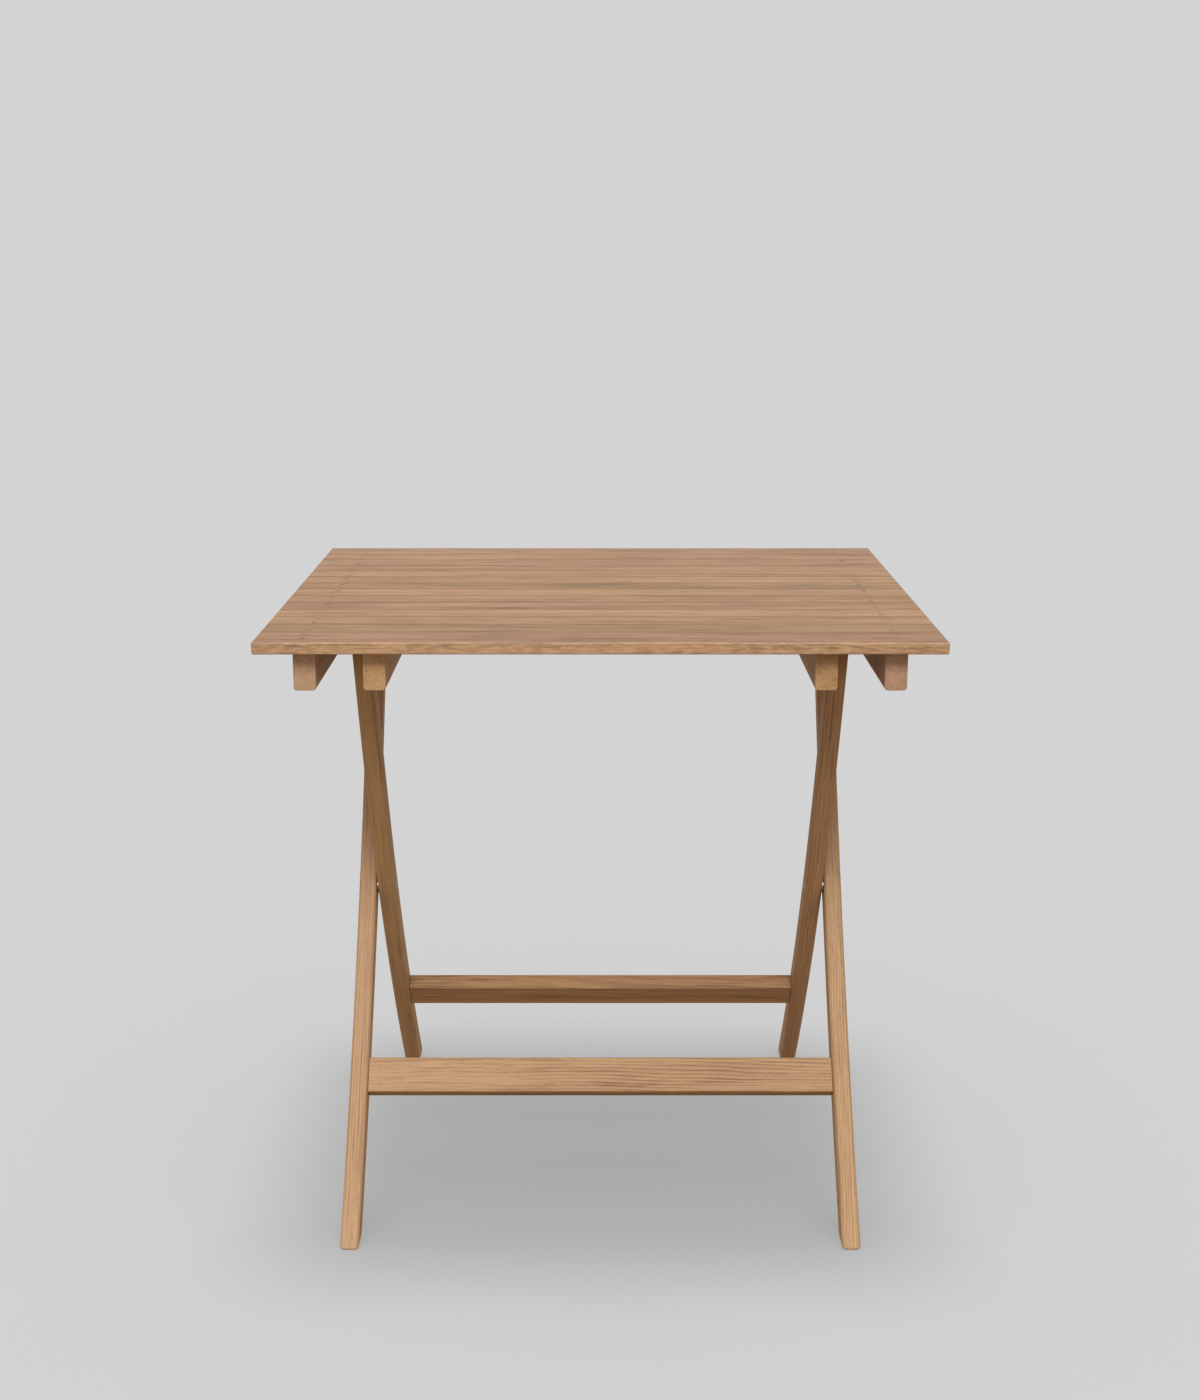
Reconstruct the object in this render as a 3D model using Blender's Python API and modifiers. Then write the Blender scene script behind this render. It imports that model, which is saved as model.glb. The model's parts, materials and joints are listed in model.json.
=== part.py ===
"""A folding slatted table on two bowed leg frames that cross like scissors.

Units are metres and +Z is up. The origin is on the floor under the middle of the top, the front
faces -Y and the left side is -X. The table stands open: the inner leg frame hangs on pivots under
the front of the top and reaches back to the rear feet, and the outer leg frame is its mirror image,
with its tops in grooves under the rear of the top and its feet at the front.
"""

import math

import bmesh
import bpy

# ---- driving dimensions ------------------------------------------------------------------------

OBJECT_NAME = "folding_slatted_table"

TOP_WIDTH = 0.732
TOP_DEPTH = 0.638
TABLE_HEIGHT = 0.720
CLEARANCE = 0.0003  # left between pieces that touch

SLAT_COUNT = 14
SLAT_THICKNESS = 0.013
SLAT_GAP = 0.0018
EDGE_SLAT_DEPTH = 0.055  # the first and last slat are wider than the others
SLAT_EDGE_RADIUS = 0.0015
SLAT_EDGE_STEPS = 2

BATTEN_WIDTH = 0.024
BATTEN_HEIGHT = 0.043
BATTEN_END_INSET = 0.020
BATTEN_EDGE_RADIUS = 0.0035
BATTEN_EDGE_STEPS = 3
INNER_BATTEN_INSIDE = 0.228  # distance of the inner battens' inner faces from the middle

LEG_THICKNESS = 0.0215
LEG_WIDTH = 0.028
LEG_EDGE_RADIUS = 0.004
LEG_EDGE_STEPS = 3
LEG_TO_BATTEN_GAP = 0.0025
LEG_TO_LEG_GAP = 0.0020

# The inner frame's centre line is an arc through these three points, as (y, z). The outer frame's
# is the same arc turned front to back.
LEG_TOP = (-0.186, 0.6855)
LEG_CROSSING = (0.0, 0.345)
LEG_FOOT = (0.268, 0.0)

STRETCHER_HEIGHT = 0.150  # of the stretchers' centres above the floor
STRETCHER_WIDTH = 0.042
STRETCHER_THICKNESS = 0.021
STRETCHER_EDGE_RADIUS = 0.0025
STRETCHER_EDGE_STEPS = 2
TENON_WIDTH = 0.030
TENON_THICKNESS = 0.011
TENON_LENGTH = 0.012

SHANK_RADIUS = 0.003
BARREL_RADIUS = 0.0045
BARREL_LENGTH = 0.0155
NUT_FLOOR = 0.0010  # solid metal between a sleeve nut's flange and its bore
FASTENER_HEAD_RADIUS = 0.0072
FASTENER_HEAD_THICKNESS = 0.0024
FASTENER_CHAMFER = 0.0006
HEAD_RECESS_DEPTH = 0.0030
SOCKET_RADIUS = 0.0023
SOCKET_DEPTH = 0.0014
HEX_SIDES = 6
SQUARE_SIDES = 4
PIVOT_WASHER_RADIUS = 0.0095

GUIDE_PIN_RADIUS = 0.0045
GUIDE_PIN_DEPTH_IN_LEG = 0.014
GROOVE_DEPTH = 0.0090
GROOVE_CLEARANCE = 0.0004  # between the guide pin and the groove's walls
GUIDE_WASHER_RADIUS = 0.0105

SCREW_RADIUS = 0.0022
SCREW_HEAD_RADIUS = 0.0042
SCREW_HEAD_DEPTH = 0.0026
SCREW_LENGTH = 0.046
SCREW_TIP_LENGTH = 0.006
SCREW_SOCKET_RADIUS = 0.0016

ROUND_STEPS = 20
LEG_ARC_STEPS = 14
LEG_END_STEPS = 8
CUT_OVERRUN = 0.001  # how far a cutter runs past the face that it opens
MERGE_DISTANCE = 0.00001
FLAT_ANGLE = math.radians(0.05)  # faces that turn less than this are one face
SHARP_ANGLE = math.radians(30)  # edges that turn more than this are rounded
PIVOT_MARK_SIZE = 0.05

# ---- derived places ----------------------------------------------------------------------------

INNER_BATTEN_OUTSIDE = INNER_BATTEN_INSIDE + BATTEN_WIDTH
INNER_LEG_INSIDE = INNER_BATTEN_OUTSIDE + LEG_TO_BATTEN_GAP
INNER_LEG_OUTSIDE = INNER_LEG_INSIDE + LEG_THICKNESS
OUTER_LEG_INSIDE = INNER_LEG_OUTSIDE + LEG_TO_LEG_GAP
OUTER_LEG_OUTSIDE = OUTER_LEG_INSIDE + LEG_THICKNESS
OUTER_BATTEN_INSIDE = OUTER_LEG_OUTSIDE + LEG_TO_BATTEN_GAP

SLAT_BOTTOM = TABLE_HEIGHT - SLAT_THICKNESS
BATTEN_TOP = SLAT_BOTTOM - CLEARANCE
BATTEN_LENGTH = TOP_DEPTH - 2 * BATTEN_END_INSET

SIDES = {"left": -1, "right": 1}
REARWARD = 1  # the inner frame's legs reach back to their feet
FORWARD = -1  # the outer frame's legs reach forward to theirs
OUTER_LEG_TOP = (FORWARD * LEG_TOP[0], LEG_TOP[1])

# Colour, roughness and metallic value of each material.
FINISHES = {
    "top_wood": ((0.49, 0.31, 0.17, 1.0), 0.55, 0.0),
    "batten_wood": ((0.47, 0.30, 0.17, 1.0), 0.60, 0.0),
    "leg_wood": ((0.46, 0.28, 0.15, 1.0), 0.55, 0.0),
    "stretcher_wood": ((0.48, 0.30, 0.16, 1.0), 0.55, 0.0),
    "steel": ((0.60, 0.60, 0.58, 1.0), 0.35, 1.0),
}


# ---- scene and shape helpers -------------------------------------------------------------------


def clear_scene():
    for old in list(bpy.data.objects):
        bpy.data.objects.remove(old, do_unlink=True)


def new_collection(name):
    collection = bpy.data.collections.new(name)
    bpy.context.scene.collection.children.link(collection)
    return collection


def make_material(name, finish):
    colour, roughness, metallic = FINISHES[finish]
    material = bpy.data.materials.new(name)
    material.use_nodes = True
    shader = material.node_tree.nodes["Principled BSDF"]
    shader.inputs["Base Color"].default_value = colour
    shader.inputs["Roughness"].default_value = roughness
    shader.inputs["Metallic"].default_value = metallic
    material.diffuse_color = colour
    return material


def mesh_object(name, bm):
    mesh = bpy.data.meshes.new(name)
    bm.to_mesh(mesh)
    bm.free()
    return bpy.data.objects.new(name, mesh)


def box(name, size, location):
    bm = bmesh.new()
    bmesh.ops.create_cube(bm, size=1.0)
    bmesh.ops.scale(bm, vec=size, verts=bm.verts)
    piece = mesh_object(name, bm)
    piece.location = location
    return piece


def place_on_axis(piece, point, side):
    """Stand a piece made along +Z on the cross axis through point, growing outward on its side."""
    piece.location = (0.0, point[0], point[1])
    piece.rotation_euler = (0.0, side * math.pi / 2, 0.0)


def turned(name, profile, point, side, ring=False):
    """A turned piece about the cross axis through point.

    The profile is (radius, distance from the table's middle), down the outer side from the end
    that is farther out. A ring's profile closes on itself and stays off the axis.
    """
    bm = bmesh.new()
    corners = [bm.verts.new((radius, 0.0, height)) for radius, height in profile]
    for start, end in zip(corners, corners[1:]):
        bm.edges.new((start, end))
    if ring:
        bm.edges.new((corners[-1], corners[0]))
    piece = mesh_object(name, bm)
    screw = piece.modifiers.new("Turn", "SCREW")
    screw.steps = ROUND_STEPS
    screw.render_steps = ROUND_STEPS
    screw.use_merge_vertices = True
    screw.merge_threshold = MERGE_DISTANCE
    screw.use_smooth_shade = True
    place_on_axis(piece, point, side)
    return piece


def outline_solid(name, points, centre_x, thickness):
    """A flat (y, z) outline given thickness across the table, as a closed mesh object."""
    curve = bpy.data.curves.new(name, "CURVE")
    curve.dimensions = "2D"
    curve.fill_mode = "BOTH"
    curve.extrude = thickness / 2
    spline = curve.splines.new("POLY")
    spline.points.add(len(points) - 1)
    for spline_point, (along, up) in zip(spline.points, points):
        spline_point.co = (along, up, 0.0, 1.0)
    spline.use_cyclic_u = True
    outline = bpy.data.objects.new(name + "_outline", curve)
    outline.rotation_euler = (math.pi / 2, 0.0, math.pi / 2)
    outline.location = (centre_x, 0.0, 0.0)
    bpy.context.scene.collection.objects.link(outline)
    bpy.context.view_layer.update()
    depsgraph = bpy.context.evaluated_depsgraph_get()
    mesh = bpy.data.meshes.new_from_object(outline.evaluated_get(depsgraph))
    bm = bmesh.new()
    bm.from_mesh(mesh)
    bmesh.ops.remove_doubles(bm, verts=bm.verts, dist=MERGE_DISTANCE)
    bmesh.ops.dissolve_limit(bm, angle_limit=FLAT_ANGLE, verts=bm.verts, edges=bm.edges)
    bmesh.ops.recalc_face_normals(bm, faces=bm.faces)
    bm.to_mesh(mesh)
    bm.free()
    piece = bpy.data.objects.new(name, mesh)
    piece.matrix_world = outline.matrix_world
    bpy.data.objects.remove(outline, do_unlink=True)
    return piece


def round_edges(piece, radius, segments):
    bevel = piece.modifiers.new("Rounded edges", "BEVEL")
    bevel.width = radius
    bevel.segments = segments
    bevel.limit_method = "ANGLE"
    bevel.angle_limit = SHARP_ANGLE


def cut(piece, cutter):
    difference = piece.modifiers.new("Cut " + cutter.name, "BOOLEAN")
    difference.operation = "DIFFERENCE"
    difference.object = cutter


def join(piece, other):
    union = piece.modifiers.new("Join " + other.name, "BOOLEAN")
    union.operation = "UNION"
    union.object = other


def keep_part(piece, finish, pivot=None):
    """Give a finished piece its material, its place in the collection and its pivot empty."""
    parts.objects.link(piece)
    piece.data.materials.append(make_material(piece.name + "_finish", finish))
    if pivot is not None:
        piece.parent = pivot
        piece.location = piece.location - pivot.matrix_world.translation


def keep_cutter(piece):
    cutters.objects.link(piece)
    piece.hide_render = True
    piece.display_type = "WIRE"
    return piece


def pivot_empty(name, point, parent=None):
    """An empty on a joint's axis, which carries the pieces that turn about it."""
    empty = bpy.data.objects.new(name, None)
    empty.empty_display_size = PIVOT_MARK_SIZE
    empty.location = (0.0, point[0], point[1])
    if parent is not None:
        empty.parent = parent
        empty.location = empty.location - parent.matrix_world.translation
    parts.objects.link(empty)
    bpy.context.view_layer.update()
    return empty


# ---- leg geometry ------------------------------------------------------------------------------


def arc_through(first, second, third):
    """Centre and radius of the circle through three (y, z) points."""
    (y1, z1), (y2, z2), (y3, z3) = first, second, third
    square1 = y1 * y1 + z1 * z1
    square2 = y2 * y2 + z2 * z2
    square3 = y3 * y3 + z3 * z3
    scale = 2 * (y1 * (z2 - z3) + y2 * (z3 - z1) + y3 * (z1 - z2))
    centre_y = (square1 * (z2 - z3) + square2 * (z3 - z1) + square3 * (z1 - z2)) / scale
    centre_z = (square1 * (y3 - y2) + square2 * (y1 - y3) + square3 * (y2 - y1)) / scale
    return (centre_y, centre_z), math.hypot(y1 - centre_y, z1 - centre_z)


ARC_CENTRE, ARC_RADIUS = arc_through(LEG_TOP, LEG_CROSSING, LEG_FOOT)


def arc_point(radius, angle):
    """Point on a circle about the arc's centre, angle being measured down from its level."""
    return (ARC_CENTRE[0] - radius * math.cos(angle), ARC_CENTRE[1] - radius * math.sin(angle))


def arc_angle(radius, height):
    """Angle at which a circle about the arc's centre passes a height."""
    return math.asin((ARC_CENTRE[1] - height) / radius)


def leg_outline(reach):
    """Side outline of a leg: a level foot, two concentric arcs and a round end about its top point."""
    half_width = LEG_WIDTH / 2
    convex = ARC_RADIUS + half_width
    concave = ARC_RADIUS - half_width
    top_angle = arc_angle(ARC_RADIUS, LEG_TOP[1])
    convex_foot = arc_angle(convex, 0.0)
    concave_foot = arc_angle(concave, 0.0)
    points = []
    for step in range(LEG_ARC_STEPS):
        share = step / LEG_ARC_STEPS
        points.append(arc_point(convex, convex_foot + share * (top_angle - convex_foot)))
    for step in range(LEG_END_STEPS + 1):
        turn = math.pi * step / LEG_END_STEPS - top_angle
        along = LEG_TOP[0] - half_width * math.cos(turn)
        up = LEG_TOP[1] + half_width * math.sin(turn)
        points.append((along, up))
    for step in range(1, LEG_ARC_STEPS + 1):
        share = step / LEG_ARC_STEPS
        points.append(arc_point(concave, top_angle + share * (concave_foot - top_angle)))
    return [(reach * along, up) for along, up in points]


def stretcher_place(reach):
    """Centre of a frame's stretcher, as (y, z), and its turn about X to lie in line with the legs."""
    angle = arc_angle(ARC_RADIUS, STRETCHER_HEIGHT)
    along, up = arc_point(ARC_RADIUS, angle)
    return (reach * along, up), reach * angle


# ---- fasteners ---------------------------------------------------------------------------------


def socket_cutter(name, radius, sides, low, high, point, side):
    """A many-sided plug that sinks a driver socket into a fastener's head."""
    bm = bmesh.new()
    bmesh.ops.create_cone(
        bm, cap_ends=True, segments=sides, radius1=radius, radius2=radius, depth=high - low
    )
    bmesh.ops.translate(bm, verts=bm.verts, vec=(0.0, 0.0, (low + high) / 2))
    piece = mesh_object(name, bm)
    place_on_axis(piece, point, side)
    return keep_cutter(piece)


def flange_under(face):
    """Where a sleeve nut's flange rests, in the recess of the face that it is let into."""
    return face + HEAD_RECESS_DEPTH - CLEARANCE


def pivot_bolt(name, head_face, nut_face, point, side, pivot):
    """A flat-headed bolt, let into the outer face, whose shank ends inside the sleeve nut."""
    head_under = head_face - HEAD_RECESS_DEPTH + CLEARANCE
    head_top = head_under + FASTENER_HEAD_THICKNESS
    tip = flange_under(nut_face) + 2 * NUT_FLOOR
    profile = [
        (0.0, head_top),
        (FASTENER_HEAD_RADIUS - FASTENER_CHAMFER, head_top),
        (FASTENER_HEAD_RADIUS, head_top - FASTENER_CHAMFER),
        (FASTENER_HEAD_RADIUS, head_under),
        (SHANK_RADIUS, head_under),
        (SHANK_RADIUS, tip + FASTENER_CHAMFER),
        (SHANK_RADIUS - FASTENER_CHAMFER, tip),
        (0.0, tip),
    ]
    bolt = turned(name, profile, point, side)
    socket_floor = head_top - SOCKET_DEPTH
    socket_mouth = head_top + CUT_OVERRUN
    socket = (SOCKET_RADIUS, HEX_SIDES, socket_floor, socket_mouth, point, side)
    cut(bolt, socket_cutter(name + "_socket", *socket))
    keep_part(bolt, "steel", pivot)


def sleeve_nut(name, nut_face, point, side, pivot):
    """A nut with a flat flange, let into the inner face, and a blind barrel round the bolt's end."""
    flange_face = flange_under(nut_face) - FASTENER_HEAD_THICKNESS
    barrel_end = flange_under(nut_face) + BARREL_LENGTH
    bore_floor = flange_under(nut_face) + NUT_FLOOR
    bore = SHANK_RADIUS + CLEARANCE
    profile = [
        (0.0, bore_floor),
        (bore, bore_floor),
        (bore, barrel_end),
        (BARREL_RADIUS, barrel_end),
        (BARREL_RADIUS, flange_under(nut_face)),
        (FASTENER_HEAD_RADIUS, flange_under(nut_face)),
        (FASTENER_HEAD_RADIUS, flange_face + FASTENER_CHAMFER),
        (FASTENER_HEAD_RADIUS - FASTENER_CHAMFER, flange_face),
        (0.0, flange_face),
    ]
    nut = turned(name, profile, point, side)
    socket_mouth = flange_face - CUT_OVERRUN
    socket_floor = flange_face + SOCKET_DEPTH
    socket = (SOCKET_RADIUS, HEX_SIDES, socket_mouth, socket_floor, point, side)
    cut(nut, socket_cutter(name + "_socket", *socket))
    keep_part(nut, "steel", pivot)


def pivot_hole(name, head_face, nut_face, point, side):
    """Cutter for a bolt and its sleeve nut, with a recess for the head and one for the flange."""
    recess = FASTENER_HEAD_RADIUS + CLEARANCE
    barrel_hole = BARREL_RADIUS + CLEARANCE
    shank_hole = SHANK_RADIUS + CLEARANCE
    barrel_end = flange_under(nut_face) + BARREL_LENGTH + CLEARANCE
    profile = [
        (0.0, head_face + CUT_OVERRUN),
        (recess, head_face + CUT_OVERRUN),
        (recess, head_face - HEAD_RECESS_DEPTH),
        (shank_hole, head_face - HEAD_RECESS_DEPTH),
        (shank_hole, barrel_end),
        (barrel_hole, barrel_end),
        (barrel_hole, nut_face + HEAD_RECESS_DEPTH),
        (recess, nut_face + HEAD_RECESS_DEPTH),
        (recess, nut_face - CUT_OVERRUN),
        (0.0, nut_face - CUT_OVERRUN),
    ]
    return keep_cutter(turned(name, profile, point, side))


def washer(name, radius, shank_radius, near_face, far_face, point, side, pivot):
    """A flat ring round a shank, in the gap between two faces and clear of both."""
    near = near_face + CLEARANCE
    far = far_face - CLEARANCE
    hole = shank_radius + CLEARANCE
    profile = [(radius, far), (radius, near), (hole, near), (hole, far)]
    keep_part(turned(name, profile, point, side, ring=True), "steel", pivot)


def guide_pin(name, point, side, pivot):
    """A plain pin set in the outer leg's top, whose end runs in the batten's groove."""
    tip = OUTER_BATTEN_INSIDE + GROOVE_DEPTH - 2 * GROOVE_CLEARANCE
    root = OUTER_LEG_OUTSIDE - GUIDE_PIN_DEPTH_IN_LEG
    profile = [
        (0.0, tip),
        (GUIDE_PIN_RADIUS - FASTENER_CHAMFER, tip),
        (GUIDE_PIN_RADIUS, tip - FASTENER_CHAMFER),
        (GUIDE_PIN_RADIUS, root),
        (0.0, root),
    ]
    keep_part(turned(name, profile, point, side), "steel", pivot)


def guide_pin_hole(name, point, side):
    hole = GUIDE_PIN_RADIUS + CLEARANCE
    mouth = OUTER_LEG_OUTSIDE + CUT_OVERRUN
    floor = OUTER_LEG_OUTSIDE - GUIDE_PIN_DEPTH_IN_LEG - CLEARANCE
    profile = [(0.0, mouth), (hole, mouth), (hole, floor), (0.0, floor)]
    return keep_cutter(turned(name, profile, point, side))


def stretcher_screw(name, leg_face, point, side, pivot):
    """A countersunk wood screw through the leg into the stretcher's tenon."""
    head = leg_face - CLEARANCE
    tip = head - SCREW_LENGTH
    profile = [
        (0.0, head),
        (SCREW_HEAD_RADIUS, head),
        (SCREW_RADIUS, head - SCREW_HEAD_DEPTH),
        (SCREW_RADIUS, tip + SCREW_TIP_LENGTH),
        (0.0, tip),
    ]
    screw = turned(name, profile, point, side)
    socket_floor = head - SOCKET_DEPTH
    socket_mouth = head + CUT_OVERRUN
    socket = (SCREW_SOCKET_RADIUS, SQUARE_SIDES, socket_floor, socket_mouth, point, side)
    cut(screw, socket_cutter(name + "_socket", *socket))
    keep_part(screw, "steel", pivot)


def screw_hole(name, leg_face, point, side):
    """Cutter for a stretcher screw: its own shape with clearance all round."""
    head_hole = SCREW_HEAD_RADIUS + CLEARANCE
    hole = SCREW_RADIUS + CLEARANCE
    floor = leg_face - SCREW_LENGTH - 2 * CLEARANCE
    profile = [
        (0.0, leg_face + CUT_OVERRUN),
        (head_hole, leg_face + CUT_OVERRUN),
        (head_hole, leg_face),
        (hole, leg_face - SCREW_HEAD_DEPTH - CLEARANCE),
        (hole, floor),
        (0.0, floor),
    ]
    return keep_cutter(turned(name, profile, point, side))


# ---- table top ---------------------------------------------------------------------------------


def make_slats():
    """Slats from the front edge to the rear edge, the first and last one wider."""
    gaps = (SLAT_COUNT - 1) * SLAT_GAP
    inner_depth = (TOP_DEPTH - 2 * EDGE_SLAT_DEPTH - gaps) / (SLAT_COUNT - 2)
    front = -TOP_DEPTH / 2
    for number in range(1, SLAT_COUNT + 1):
        depth = EDGE_SLAT_DEPTH if number in (1, SLAT_COUNT) else inner_depth
        centre = (0.0, front + depth / 2, SLAT_BOTTOM + SLAT_THICKNESS / 2)
        slat = box(f"slat_{number:02d}", (TOP_WIDTH, depth, SLAT_THICKNESS), centre)
        round_edges(slat, SLAT_EDGE_RADIUS, SLAT_EDGE_STEPS)
        keep_part(slat, "top_wood")
        front += depth + SLAT_GAP


def batten(name, inside, side):
    """A bar under the slats, front to back, with rounded lower edges and ends."""
    bm = bmesh.new()
    bmesh.ops.create_cube(bm, size=1.0)
    bmesh.ops.scale(bm, vec=(BATTEN_WIDTH, BATTEN_LENGTH, BATTEN_HEIGHT), verts=bm.verts)
    lower_edges = [edge for edge in bm.edges if all(corner.co.z < 0 for corner in edge.verts)]
    bmesh.ops.bevel(
        bm,
        geom=lower_edges,
        offset=BATTEN_EDGE_RADIUS,
        segments=BATTEN_EDGE_STEPS,
        profile=0.5,
        affect="EDGES",
    )
    bar = mesh_object(name, bm)
    bar.location = (side * (inside + BATTEN_WIDTH / 2), 0.0, BATTEN_TOP - BATTEN_HEIGHT / 2)
    return bar


def groove_cutter(name, side):
    """Round-ended slot in an outer batten's inner face, between the two tops' resting points."""
    radius = GUIDE_PIN_RADIUS + GROOVE_CLEARANCE
    half_steps = ROUND_STEPS // 2
    points = []
    for end in (REARWARD, FORWARD):
        for step in range(half_steps + 1):
            turn = math.pi * step / half_steps - end * math.pi / 2
            along = abs(LEG_TOP[0]) * end + radius * math.cos(turn)
            points.append((along, LEG_TOP[1] + radius * math.sin(turn)))
    depth = GROOVE_DEPTH + CUT_OVERRUN
    centre_x = side * (OUTER_BATTEN_INSIDE - CUT_OVERRUN + depth / 2)
    slot = outline_solid(name, points, centre_x, depth)
    return keep_cutter(slot)


def make_battens():
    for label, side in SIDES.items():
        inner = batten("inner_batten_" + label, INNER_BATTEN_INSIDE, side)
        cut(inner, bpy.data.objects["top_pivot_hole_" + label])
        keep_part(inner, "batten_wood")
        outer = batten("outer_batten_" + label, OUTER_BATTEN_INSIDE, side)
        cut(outer, groove_cutter("groove_cutter_" + label, side))
        keep_part(outer, "batten_wood")


# ---- leg frames --------------------------------------------------------------------------------


def make_leg(name, reach, inside, side, holes, pivot):
    centre_x = side * (inside + LEG_THICKNESS / 2)
    leg = outline_solid(name, leg_outline(reach), centre_x, LEG_THICKNESS)
    round_edges(leg, LEG_EDGE_RADIUS, LEG_EDGE_STEPS)
    for hole in holes:
        cut(leg, hole)
    keep_part(leg, "leg_wood", pivot)


def bar_in_stretcher_line(name, half_length, thickness, width, reach):
    """A bar across the table, centred on a frame's stretcher and turned with its legs."""
    (along, up), turn = stretcher_place(reach)
    bar = box(name, (2 * half_length, thickness, width), (0.0, along, up))
    bar.rotation_euler = (turn, 0.0, 0.0)
    return bar


def mortise_cutter(name, leg_inside, reach):
    """One long bar that sinks a mortise into both legs of a frame."""
    half_length = leg_inside + TENON_LENGTH + CLEARANCE
    thickness = TENON_THICKNESS + 2 * CLEARANCE
    width = TENON_WIDTH + 2 * CLEARANCE
    return keep_cutter(bar_in_stretcher_line(name, half_length, thickness, width, reach))


def make_stretcher(name, leg_inside, reach, screw_holes, pivot):
    """The cross bar of a frame, with a tenon at each end."""
    half_length = leg_inside - CLEARANCE
    bar = bar_in_stretcher_line(name, half_length, STRETCHER_THICKNESS, STRETCHER_WIDTH, reach)
    round_edges(bar, STRETCHER_EDGE_RADIUS, STRETCHER_EDGE_STEPS)
    tenon_reach = leg_inside + TENON_LENGTH
    tenons = (tenon_reach, TENON_THICKNESS, TENON_WIDTH, reach)
    join(bar, keep_cutter(bar_in_stretcher_line(name + "_tenons", *tenons)))
    for hole in screw_holes:
        cut(bar, hole)
    keep_part(bar, "stretcher_wood", pivot)


def make_frame(label, reach, leg_inside, stretcher_name, leg_holes, pivot):
    """Two legs, the stretcher between them and the two screws that hold it."""
    leg_outside = leg_inside + LEG_THICKNESS
    centre, _ = stretcher_place(reach)
    mortises = mortise_cutter(label + "_mortises", leg_inside, reach)
    screw_holes = []
    for side_label, side in SIDES.items():
        screw_name = f"{stretcher_name}_screw_{side_label}"
        hole = screw_hole(screw_name + "_hole", leg_outside, centre, side)
        screw_holes.append(hole)
        stretcher_screw(screw_name, leg_outside, centre, side, pivot)
        holes = [bpy.data.objects[f"{hole_name}_{side_label}"] for hole_name in leg_holes]
        holes += [mortises, hole]
        make_leg(f"{label}_leg_{side_label}", reach, leg_inside, side, holes, pivot)
    make_stretcher(stretcher_name, leg_inside, reach, screw_holes, pivot)


def make_holes():
    """Cutters on the pivot axes, each shared by the pieces that its fastener passes through."""
    for label, side in SIDES.items():
        pivot_hole("top_pivot_hole_" + label, INNER_LEG_OUTSIDE, INNER_BATTEN_INSIDE, LEG_TOP, side)
        crossing = (OUTER_LEG_OUTSIDE, INNER_LEG_INSIDE, LEG_CROSSING, side)
        pivot_hole("crossing_hole_" + label, *crossing)
        guide_pin_hole("guide_pin_hole_" + label, OUTER_LEG_TOP, side)


def make_fasteners(inner_pivot, outer_pivot):
    for label, side in SIDES.items():
        top = (LEG_TOP, side, None)
        pivot_bolt("top_pivot_bolt_" + label, INNER_LEG_OUTSIDE, INNER_BATTEN_INSIDE, *top)
        sleeve_nut("top_pivot_nut_" + label, INNER_BATTEN_INSIDE, *top)
        gap = (INNER_BATTEN_OUTSIDE, INNER_LEG_INSIDE)
        washer("top_pivot_washer_" + label, PIVOT_WASHER_RADIUS, SHANK_RADIUS, *gap, *top)

        crossing = (LEG_CROSSING, side, inner_pivot)
        pivot_bolt("crossing_bolt_" + label, OUTER_LEG_OUTSIDE, INNER_LEG_INSIDE, *crossing)
        sleeve_nut("crossing_nut_" + label, INNER_LEG_INSIDE, *crossing)
        gap = (INNER_LEG_OUTSIDE, OUTER_LEG_INSIDE)
        washer("crossing_washer_" + label, PIVOT_WASHER_RADIUS, SHANK_RADIUS, *gap, *crossing)

        guide = (OUTER_LEG_TOP, side, outer_pivot)
        guide_pin("guide_pin_" + label, *guide)
        gap = (OUTER_LEG_OUTSIDE, OUTER_BATTEN_INSIDE)
        washer("guide_washer_" + label, GUIDE_WASHER_RADIUS, GUIDE_PIN_RADIUS, *gap, *guide)


# ---- assembly ----------------------------------------------------------------------------------

clear_scene()
parts = new_collection(OBJECT_NAME)
cutters = new_collection("cutters")

top_pivot = pivot_empty("top_pivot", LEG_TOP)
crossing_pivot = pivot_empty("crossing_pivot", LEG_CROSSING, parent=top_pivot)

make_holes()
make_slats()
make_battens()
inner_holes = ("top_pivot_hole", "crossing_hole")
outer_holes = ("guide_pin_hole", "crossing_hole")
make_frame("inner", REARWARD, INNER_LEG_INSIDE, "rear_stretcher", inner_holes, top_pivot)
make_frame("outer", FORWARD, OUTER_LEG_INSIDE, "front_stretcher", outer_holes, crossing_pivot)
make_fasteners(top_pivot, crossing_pivot)
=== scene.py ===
"""Looks of the folding slatted table: finished wooden pieces and steel hardware on the fixed frame."""

import json
import math
import random

import bmesh
import bpy
from mathutils import Matrix, Vector, noise


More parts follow.
